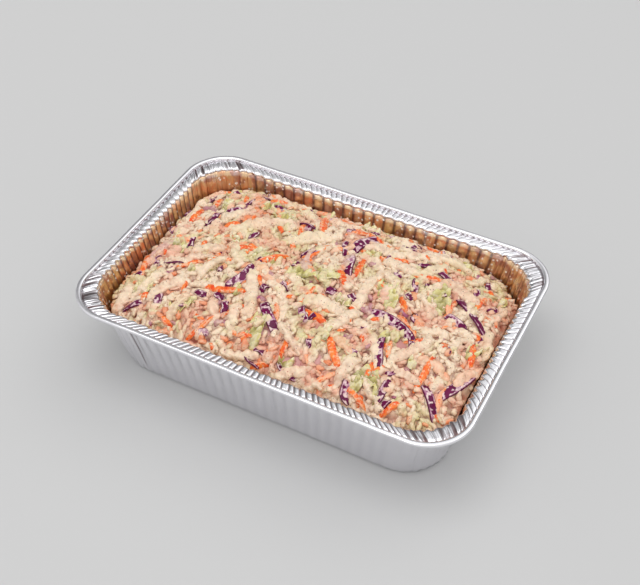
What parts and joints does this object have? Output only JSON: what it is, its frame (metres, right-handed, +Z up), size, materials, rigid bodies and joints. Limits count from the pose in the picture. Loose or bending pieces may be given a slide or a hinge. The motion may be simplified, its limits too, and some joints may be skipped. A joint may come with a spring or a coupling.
{
  "type": "coleslaw in a foil tray",
  "caption": "Creamy coleslaw of red and white cabbage, carrot and green leaf heaped in a rectangular fluted foil catering tray with a rolled rim.",
  "frame": {"origin": "bottom centre: the middle of the tray's flat underside", "axes": "+X along the tray's long side, +Y along its short side, +Z up"},
  "size_m": [0.315, 0.214, 0.0777],
  "materials": {
    "foil": "bright pressed foil with fluted walls and a crimped flange",
    "dressed_slaw": "wet, lumpy white cabbage coated in pinkish cream dressing",
    "red_cabbage": "wet dark purple shreds with pale cut edges and smears of dressing",
    "carrot": "wet bright orange shreds",
    "green_leaf": "thin crinkled yellow-green leaf, wet"
  },
  "bodies": {
    "root": {"foil_tray": "foil", "coleslaw": "dressed_slaw"}
  },
  "joints": []
}
